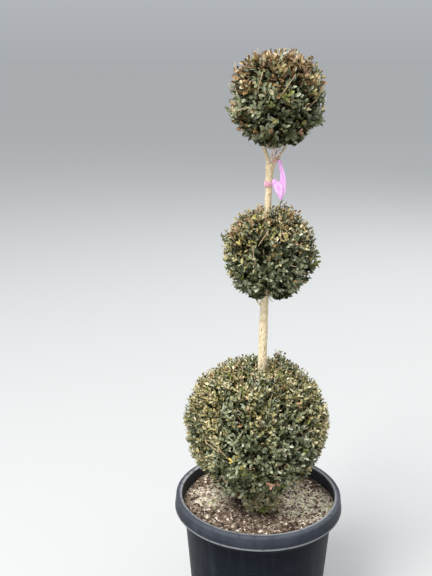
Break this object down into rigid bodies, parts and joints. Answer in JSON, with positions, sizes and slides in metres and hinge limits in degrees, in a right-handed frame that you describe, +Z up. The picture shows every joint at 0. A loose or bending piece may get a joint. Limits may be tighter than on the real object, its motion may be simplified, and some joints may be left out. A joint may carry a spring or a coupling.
{
  "type": "potted triple ball topiary",
  "caption": "Small-leaved evergreen shrub clipped into stacked balls on one bare trunk, in a black nursery pot of bark mulch, with a ribbon tied to the trunk.",
  "frame": {"origin": "middle of the pot's flat underside, on the ground that the pot stands on", "axes": "+Z up along the trunk; +X to the right and +Y away from the viewer as the picture shows the plant"},
  "size_m": [0.462, 0.462, 1.5866],
  "materials": {
    "pot": "satin",
    "mulch": "matte",
    "bark": "matte",
    "foliage": "satin",
    "ribbon": "satin"
  },
  "bodies": {
    "root": {"pot": "pot", "mulch": "mulch", "trunk": "bark", "stem_left": "bark", "stem_right": "bark", "shoot_dead": "bark", "twig_side": "bark", "foliage_low": "foliage", "foliage_mid": "foliage", "foliage_top": "foliage", "ribbon": "ribbon"}
  },
  "joints": []
}
